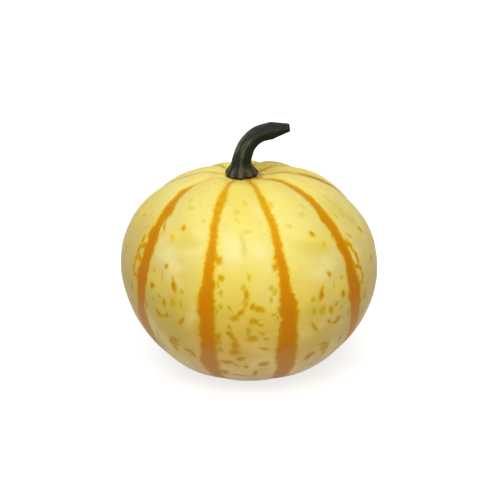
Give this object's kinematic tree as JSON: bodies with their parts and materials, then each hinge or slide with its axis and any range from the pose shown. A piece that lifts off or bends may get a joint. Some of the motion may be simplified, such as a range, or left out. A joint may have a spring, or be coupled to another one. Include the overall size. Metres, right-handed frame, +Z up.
{
  "type": "pumpkin",
  "caption": "Small striped ornamental pumpkin: a squat ribbed fruit resting on a small flat spot, with a dark, dried, bent stalk on a flared, fluted foot in its crown.",
  "frame": {"origin": "middle of the part's outline in plan, on the surface that the fruit rests on, in the flat spot", "axes": "+Z up out of the crown, -Y to the front rib, +X the way the stalk bends"},
  "size_m": [0.1501, 0.1498, 0.1478],
  "materials": {
    "rind": "satin",
    "dried_stalk": "matte"
  },
  "bodies": {
    "root": {"fruit": "rind", "stem": "dried_stalk"}
  },
  "joints": []
}
